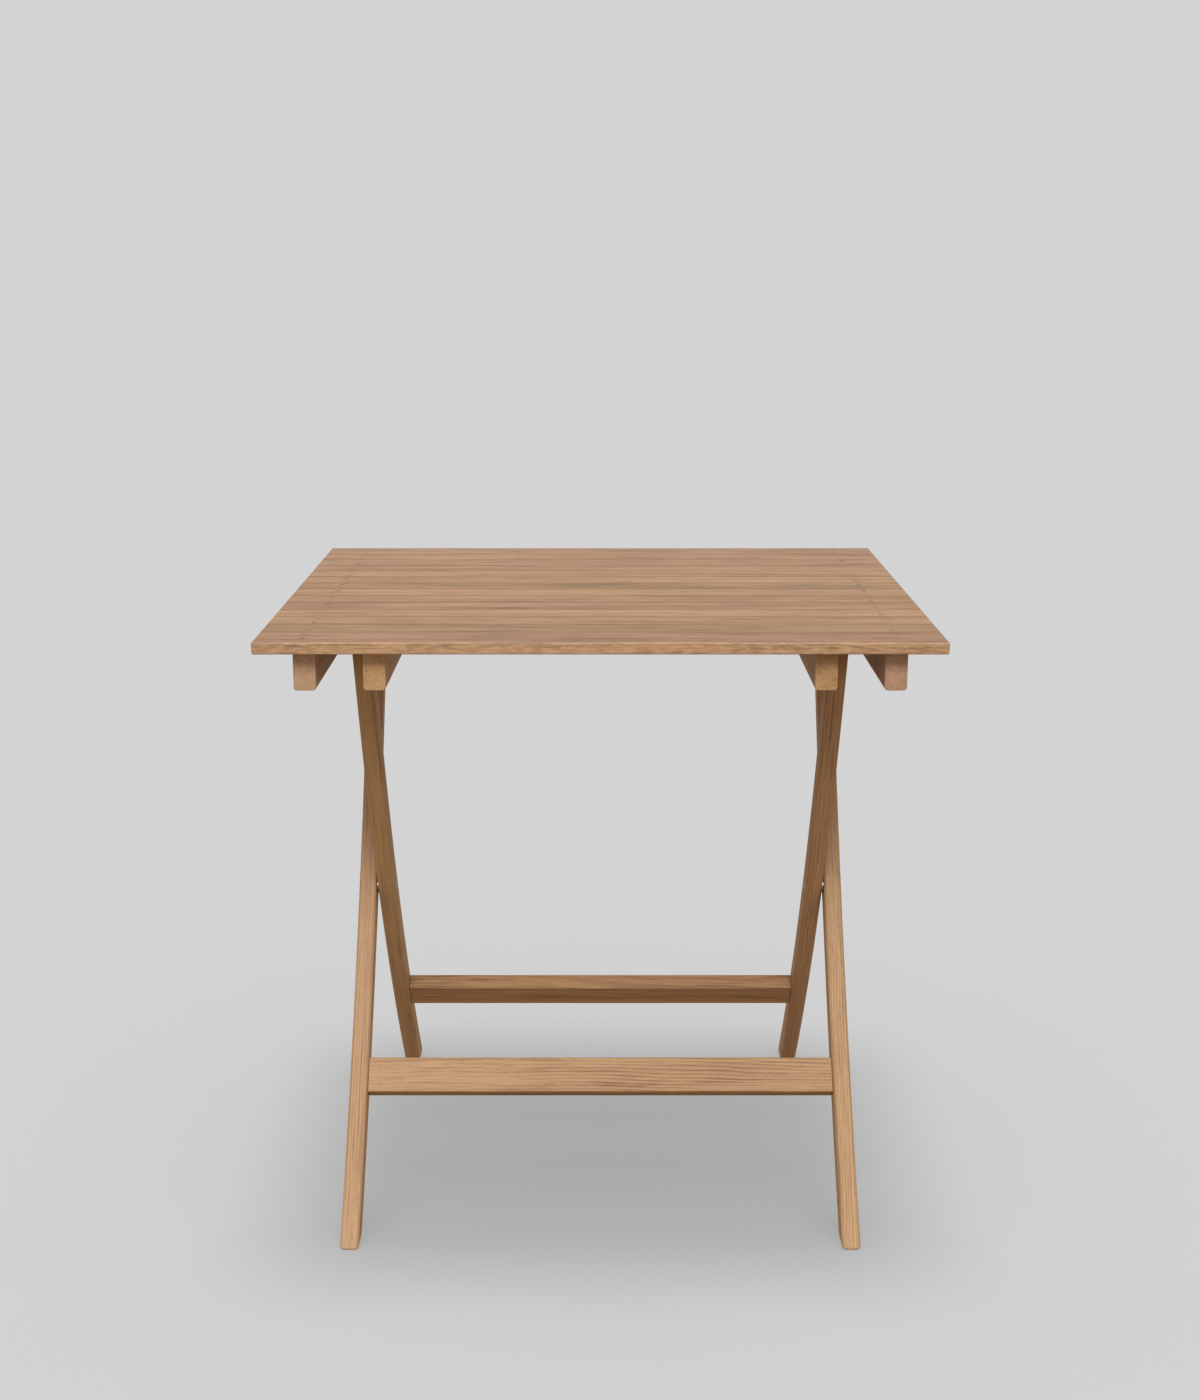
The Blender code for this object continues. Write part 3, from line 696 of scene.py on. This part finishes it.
def wood(name, light, dark, ring_width, ring_depth, contrast, gloss):
    """Matte oiled hardwood: growth rings, fibres, pores, bands, worn arrises and darker end grain."""
    s = Shading(name)
    grain = s.attribute("grain")
    half = s.attribute("half")
    seed, tone, warmth = s.split(s.attribute("board"))
    shift = s.vector("MULTIPLY", s.joined(seed, seed, seed), BOARD_SHIFT)
    place = s.vector("ADD", grain, shift)

    rings = ring_pattern(s, grain, place, ring_width)
    fibres = s.noise(place, *FIBRES)
    streaks = s.step(s.noise(place, *STREAKS), 0.56, 0.64)
    hairs = s.step(s.noise(place, *HAIRS), 0.56, 0.64)
    pores = s.step(s.noise(place, *PORES), 0.62, 0.74)
    bands = s.noise(place, *BANDS)
    clouds = s.noise(place, *CLOUDS)

    depth = s.total(
        (rings, ring_depth),
        (s.math("SUBTRACT", fibres, 0.5), FIBRE_DEPTH),
        (streaks, STREAK_DEPTH),
        (hairs, HAIR_DEPTH),
        (s.math("SUBTRACT", bands, 0.5), BAND_DEPTH),
        (s.math("SUBTRACT", clouds, 0.5), CLOUD_DEPTH),
    )
    depth = s.math("ADD", s.math("MULTIPLY", depth, contrast), BASE_DEPTH)
    depth = s.math("ADD", depth, s.math("MULTIPLY", tone, TONE_DEPTH), clamp=True)
    colour = s.mix(depth, light, dark)

    rosy = s.math("ADD", s.math("MULTIPLY", warmth, 0.5), s.noise(place, *ROSY))
    yellowish = s.mix(1.0, colour, YELLOWISH, "MULTIPLY")
    colour = s.mix(s.step(rosy, 0.1, 0.9), yellowish, s.mix(1.0, colour, ROSY_TINT, "MULTIPLY"))
    colour = s.mix(s.math("MULTIPLY", pores, 0.45), colour, PORE_COLOUR)

    reach = s.split(s.vector("SUBTRACT", half, s.vector("ABSOLUTE", grain)))
    along, across, _ = reach
    rub = s.math("MULTIPLY", s.noise(place, *RUB), 0.0034)
    worn = s.step(s.math("ADD", arris_distance(s, reach), rub), 0.0014, 0.0036, 1.0, 0.0)
    colour = s.mix(s.math("MULTIPLY", worn, 0.16), colour, light)

    front_gap, rear_gap, face_light_share = s.split(s.attribute("gap"))
    rearward = s.math("GREATER_THAN", s.split(grain)[1], 0.0)
    frontward = s.math("SUBTRACT", 1.0, rearward)
    beside_gap = s.total((rearward, rear_gap), (frontward, front_gap))
    # Painted shade along each long edge of a slat that has another slat beside it.
    gap_shade = s.step(s.math("ADD", across, s.math("MULTIPLY", rub, 0.35)), 0.0008, 0.0036, 1.0, 0.0)
    gap_shade = s.math("MULTIPLY", gap_shade, beside_gap)
    figure = s.step(s.noise(place, *EDGE_FIGURE), 0.40, 0.62, 0.25, 0.85)
    # Painted light, mottled by the figure, on the outer long face of the first and the last slat, where no slat
    # lies beside it.
    lit_face = s.math("MULTIPLY", s.step(across, 0.0002, 0.0012, 1.0, 0.0), s.math("SUBTRACT", 1.0, beside_gap))
    lit_face = s.math("MULTIPLY", lit_face, face_light_share)
    colour = s.mix(s.math("MULTIPLY", lit_face, figure), colour, EDGE_FACE_LIGHT)
    colour = s.mix(s.math("MULTIPLY", gap_shade, 0.85), colour, GAP_SHADE)
    end_grain = s.step(along, 0.0003, 0.0011, 1.0, 0.0)
    colour = s.mix(s.math("MULTIPLY", end_grain, 0.10), colour, dark)

    roughness = s.total((fibres, 0.16), (rings, 0.06), (clouds, 0.14), (pores, 0.12), (worn, -0.05))
    height = s.total((fibres, 0.7), (rings, 0.22), (pores, -0.8), (clouds, 1.5))
    s.shader.inputs["Specular IOR Level"].default_value = gloss
    return s.finish(colour, s.math("ADD", roughness, 0.34), s.bump(height, 0.30, 0.0005))


STEEL_BRIGHT = (0.50, 0.49, 0.475, 1.0)
STEEL_DULL = (0.36, 0.35, 0.335, 1.0)
STEEL_SPECKS = (0.24, 0.20, 0.16, 1.0)


def steel(name):
    """Satin stainless steel, turned on a lathe: fine rings round the axis, a little dull in places."""
    s = Shading(name)
    radius, angle, depth = s.split(s.attribute("lathe"))
    swept = s.joined(radius, s.math("MULTIPLY", angle, 0.0002), depth)
    rings = s.noise(swept, (9000.0, 9000.0, 5000.0), 3.0, 0.6)
    place = s.attribute("spot")
    dull = s.noise(place, (260.0, 260.0, 260.0), 3.0, 0.55)
    specks = s.step(s.noise(place, (1500.0, 1500.0, 1500.0), 2.0), 0.60, 0.72)
    colour = s.mix(s.step(dull, 0.35, 0.7), STEEL_BRIGHT, STEEL_DULL)
    colour = s.mix(s.math("MULTIPLY", specks, 0.35), colour, STEEL_SPECKS)
    roughness = s.total((rings, 0.16), (dull, 0.22), (specks, 0.2))
    s.shader.inputs["Metallic"].default_value = 1.0
    return s.finish(colour, s.math("ADD", roughness, 0.12), s.bump(rings, 0.22, 0.00006))


def floor_material():
    """A smooth pale studio floor with a very faint mottle."""
    s = Shading("studio_floor")
    coordinates = s.tree.nodes.new("ShaderNodeTexCoord").outputs["Object"]
    mottle = s.noise(coordinates, (9.0, 9.0, 9.0), 2.0, 0.5)
    colour = s.mix(mottle, FLOOR_LIGHT, FLOOR_DARK)
    s.shader.inputs["Specular IOR Level"].default_value = 0.0
    return s.finish(colour, 0.9, s.bump(mottle, 0.02, 0.001))


# Each wood's light and dark colour, growth ring width, depth of its rings, contrast and gloss.
WOODS = {
    "slat": ((0.430, 0.252, 0.129, 1.0), (0.145, 0.067, 0.026, 1.0), 0.0046, 0.42, 1.15, 0.42),
    "inner_batten": ((0.560, 0.345, 0.186, 1.0), (0.260, 0.134, 0.056, 1.0), 0.0036, 0.34, 0.8, 0.12),
    "outer_batten": ((0.520, 0.338, 0.216, 1.0), (0.230, 0.125, 0.070, 1.0), 0.0036, 0.34, 0.8, 0.12),
    "leg": ((0.445, 0.274, 0.138, 1.0), (0.190, 0.094, 0.041, 1.0), 0.0036, 0.40, 0.8, 0.25),
    "stretcher": ((0.428, 0.255, 0.119, 1.0), (0.170, 0.081, 0.034, 1.0), 0.0042, 0.42, 1.0, 0.25),
}
WOOD = {name: wood(name + "_oiled_wood", *traits) for name, traits in WOODS.items()}
STEEL = steel("satin_steel")


# ---- table top ---------------------------------------------------------------------------------


def disc_rings(centre, tilt, radius, low, high, chamfer):
    """Rings of a small upright plug whose top leans a little."""
    rings = []
    for size, height in ((radius, low), (radius, high - chamfer), (radius - chamfer, high)):
        ring = []
        for step in range(PLUG_STEPS):
            turn = 2 * math.pi * step / PLUG_STEPS
            x = size * math.cos(turn)
            y = size * math.sin(turn)
            rise = x * tilt[0] + y * tilt[1] if height > low else 0.0
            ring.append(Vector((centre[0] + x, centre[1] + y, height + rise)))
        rings.append(ring)
    return rings


def plug_centres(node, number, side):
    """Middles of a slat's two plugs over the outer batten on one side."""
    low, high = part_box(node)
    batten_low, batten_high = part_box("outer_batten_right")
    row = (batten_low.x + batten_high.x) / 2 + PLUG_ROW
    middle = (low.y + high.y) / 2
    if number == 1:
        middle += EDGE_SLAT_SHIFT
    if number == len(SLATS):
        middle -= EDGE_SLAT_SHIFT
    return [(side * row, middle + shift) for shift in (-PLUG_SPREAD, PLUG_SPREAD)]


def plug_rings(centre, top, dice):
    """Rings of one plug in its hole, a little proud of its slat."""
    tilt = (dice.uniform(-PLUG_LEAN, PLUG_LEAN), dice.uniform(-PLUG_LEAN, PLUG_LEAN))
    height = top + dice.uniform(*PLUG_PROUD)
    return disc_rings(centre, tilt, PLUG_RADIUS, top - PLUG_DEPTH + CLEARANCE, height, PLUG_CHAMFER)


def plug_character(dice):
    """The turn of a plug's grain, what sets its wood apart, and where its heart lies."""
    turn = dice.uniform(-PLUG_TURN, PLUG_TURN)
    board = (dice.uniform(0, 1), dice.uniform(*PLUG_TONE), dice.uniform(-1, 1))
    heart = (0.0, dice.uniform(-0.02, 0.02), -dice.uniform(0.01, 0.05))
    return turn, board, heart


def slat_plugs(label, side):
    """All the plugs over one outer batten, as one piece."""
    dice = random.Random(label)
    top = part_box(SLATS[0])[1].z
    centres = []
    for number, node in enumerate(SLATS, start=1):
        centres += plug_centres(node, number, side)
    piece = tube("slat_plugs_" + label, *[plug_rings(centre, top, dice) for centre in centres])
    shade(piece)
    characters = {centre: plug_character(dice) for centre in centres}
    grain, boards, hearts = [], [], []
    for vertex in piece.data.vertices:
        centre = min(centres, key=lambda place: math.dist(place, vertex.co.xy))
        turn, board, heart = characters[centre]
        x = vertex.co.x - centre[0]
        y = vertex.co.y - centre[1]
        along = x * math.cos(turn) + y * math.sin(turn)
        across = y * math.cos(turn) - x * math.sin(turn)
        grain.append((along, across, vertex.co.z - top))
        boards.append(board)
        hearts.append(heart)
    store(piece.data, "grain", grain)
    store(piece.data, "half", [(PLUG_BOARD_HALF,) * 3] * len(grain))
    store(piece.data, "board", boards)
    store(piece.data, "heart", hearts)
    return piece


def batten_cutters(place, side, face):
    """An inner batten's holes for the top pivot's sleeve nut and bolt, or an outer one's groove."""
    if place == "outer":
        return [groove_cutter(side, face, abs(PIVOT[0]), PIVOT[1])]
    return [
        head_hole(PIVOT, side, face, 1, BARREL_HOLE_DEPTH, BARREL_HOLE_RADIUS),
        plain_hole(PIVOT, side, face + RECESS_DEPTH, face + THROUGH, SHANK_HOLE_RADIUS),
    ]


SLATS = sorted(name for name in frame["nodes"] if name.startswith("slat_"))

for number, node in enumerate(SLATS, start=1):
    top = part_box(node)[1].z
    holes = []
    for side in SIDES.values():
        for centre in plug_centres(node, number, side):
            hole = disc_rings(centre, (0.0, 0.0), PLUG_HOLE_RADIUS, top - PLUG_DEPTH, top + OVERRUN, 0.0)
            holes.append(hole[:2])
    cutter = tube("plug_holes", *holes)
    # Whether a slat has another in front of it and behind it, then 1 to let its outer long faces take the painted
    # light.
    gap = (float(number > 1), float(number < len(SLATS)), 1.0)
    radii = (SLAT_EDGE,) * 4
    slat = bar(node, ALONG_X, radii, SLAT_EDGE, SLAT_WANDER, number, [cutter], sideways=True, gap=gap)
    dress(slat, WOOD["slat"], "tabletop", "slat_wood", node)

for label, side in SIDES.items():
    dress(slat_plugs(label, side), WOOD["slat"], "tabletop", "slat_wood")

for label, side in SIDES.items():
    for place, seed in BATTEN_SEEDS.items():
        node = place + "_batten_" + label
        low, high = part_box(node)
        cutters = batten_cutters(place, side, min(abs(low.x), abs(high.x)))
        radii = (BATTEN_ARRIS, BATTEN_ARRIS, BATTEN_EDGE, BATTEN_EDGE)
        batten = bar(node, ALONG_Y, radii, BATTEN_ARRIS, 0.0, seed + side, cutters)
        dress(batten, WOOD[place + "_batten"], "tabletop", "batten_wood", node)


# ---- leg frames --------------------------------------------------------------------------------

REARWARD = 1
FORWARD = -1


def leg_faces(node):
    """Distances of a leg's inner and outer face from the middle."""
    low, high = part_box(node)
    return sorted((abs(low.x), abs(high.x)))


def mortise(inside, reach):
    """Cutter that fits a stretcher's tenons, from one leg of a frame to the other."""
    half_length = inside + TENON_LENGTH + CLEARANCE
    half = (half_length, TENON_THICKNESS / 2 + CLEARANCE, TENON_WIDTH / 2 + CLEARANCE)
    return turned_bar_cutter(half, *stretcher_place(reach))


for label, side in SIDES.items():
    node = "inner_leg_" + label
    inside, outside = leg_faces(node)
    cutters = [
        head_hole(PIVOT, side, outside, -1, THROUGH, SHANK_HOLE_RADIUS),
        head_hole(CROSSING, side, inside, 1, BARREL_HOLE_DEPTH, BARREL_HOLE_RADIUS),
        plain_hole(CROSSING, side, inside + RECESS_DEPTH, outside + OVERRUN, SHANK_HOLE_RADIUS),
        mortise(inside, REARWARD),
        screw_hole(stretcher_place(REARWARD)[0], side, outside),
    ]
    piece = leg(node, REARWARD, INNER_LEG_SEED + side, cutters)
    dress(piece, WOOD["leg"], "inner_frame", "leg_wood", node)

    node = "outer_leg_" + label
    inside, outside = leg_faces(node)
    cutters = [
        plain_hole(GUIDE, side, outside - PIN_HOLE_DEPTH, outside + OVERRUN, PIN_HOLE_RADIUS),
        head_hole(CROSSING, side, outside, -1, THROUGH, SHANK_HOLE_RADIUS),
        mortise(inside, FORWARD),
        screw_hole(stretcher_place(FORWARD)[0], side, outside),
    ]
    piece = leg(node, FORWARD, OUTER_LEG_SEED + side, cutters)
    dress(piece, WOOD["leg"], "outer_frame", "leg_wood", node)

piece = stretcher("rear_stretcher", REARWARD, REAR_STRETCHER_SEED, leg_faces("inner_leg_left")[1])
dress(piece, WOOD["stretcher"], "inner_frame", "stretcher_wood", "rear_stretcher")
piece = stretcher("front_stretcher", FORWARD, FRONT_STRETCHER_SEED, leg_faces("outer_leg_left")[1])
dress(piece, WOOD["stretcher"], "outer_frame", "stretcher_wood", "front_stretcher")


# ---- steel fasteners ---------------------------------------------------------------------------

for name, node in frame["nodes"].items():
    if node.hide_render:
        continue
    low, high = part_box(name)
    centre = (low + high) / 2
    lathe, spot = [], []
    for vertex in node.data.vertices:
        out = vertex.co - centre
        lathe.append((math.hypot(out.y, out.z), math.atan2(out.z, out.y), out.x))
        spot.append(tuple(vertex.co))
    store(node.data, "lathe", lathe)
    store(node.data, "spot", spot)
    node.data.materials.clear()
    node.data.materials.append(STEEL)
    weld = node.modifiers.new("Closed surface", "WELD")
    weld.merge_threshold = WELD_DISTANCE
    soft = node.modifiers.new("Broken edges", "BEVEL")
    soft.width = STEEL_EDGE
    soft.segments = 2
    soft.limit_method = "ANGLE"
    soft.angle_limit = math.radians(SMOOTH_ANGLE)
    soft.use_clamp_overlap = True


# ---- floor, light and camera -------------------------------------------------------------------

floor_bm = bmesh.new()
bmesh.ops.create_grid(floor_bm, x_segments=FLOOR_SEGMENTS, y_segments=FLOOR_SEGMENTS, size=FLOOR_SIZE)
floor = object_from("studio_floor", floor_bm)
floor.data.materials.append(floor_material())

floor.visible_diffuse = False
floor.visible_glossy = False

world = bpy.data.worlds.new("studio")
world.use_nodes = True
sky = world.node_tree
coordinates = sky.nodes.new("ShaderNodeTexCoord")
split = sky.nodes.new("ShaderNodeSeparateXYZ")
level = sky.nodes.new("ShaderNodeMapRange")
level.inputs["From Min"].default_value = -1.0
ramp = sky.nodes.new("ShaderNodeValToRGB")
stops = ramp.color_ramp.elements
stops.new(0.5)
for stop, (height, colour) in zip(stops, SURROUNDINGS):
    stop.position = (height + 1) / 2
    stop.color = colour
sky.links.new(coordinates.outputs["Generated"], split.inputs["Vector"])
sky.links.new(split.outputs["Z"], level.inputs["Value"])
sky.links.new(level.outputs["Result"], ramp.inputs["Fac"])
sky.links.new(ramp.outputs["Color"], sky.nodes["Background"].inputs["Color"])
sky.nodes["Background"].inputs["Strength"].default_value = WORLD_STRENGTH
bpy.context.scene.world = world
bpy.context.scene.view_settings.view_transform = "Standard"


def floor_group(name, state):
    """A lighting group that has only the floor in it, or everything but the floor."""
    group = bpy.data.collections.new(name)
    group.objects.link(floor)
    group.collection_objects[0].light_linking.link_state = state
    return group


RECEIVERS = {
    "floor": floor_group("floor_only", "INCLUDE"),
    "object": floor_group("floor_left_out", "EXCLUDE"),
}
for name, (strength, spread, tilt, receiver, shadows) in SOFT_LIGHTS.items():
    light = bpy.data.lights.new(name, "SUN")
    light.energy = strength
    light.angle = math.radians(spread)
    light.use_shadow = shadows
    lamp = bpy.data.objects.new(name, light)
    lamp.rotation_euler = (math.radians(tilt), 0.0, 0.0)
    lamp.light_linking.receiver_collection = RECEIVERS[receiver]
    bpy.context.scene.collection.objects.link(lamp)

camera_data = bpy.data.cameras.new("camera")
camera_data.lens = CAMERA_LENS
camera_data.sensor_width = CAMERA_SENSOR
camera_data.clip_end = CAMERA_REACH
camera = bpy.data.objects.new("camera", camera_data)
camera.location = CAMERA_PLACE
camera.rotation_euler = (math.radians(CAMERA_TILT), 0.0, 0.0)
bpy.context.scene.collection.objects.link(camera)
bpy.context.scene.camera = camera
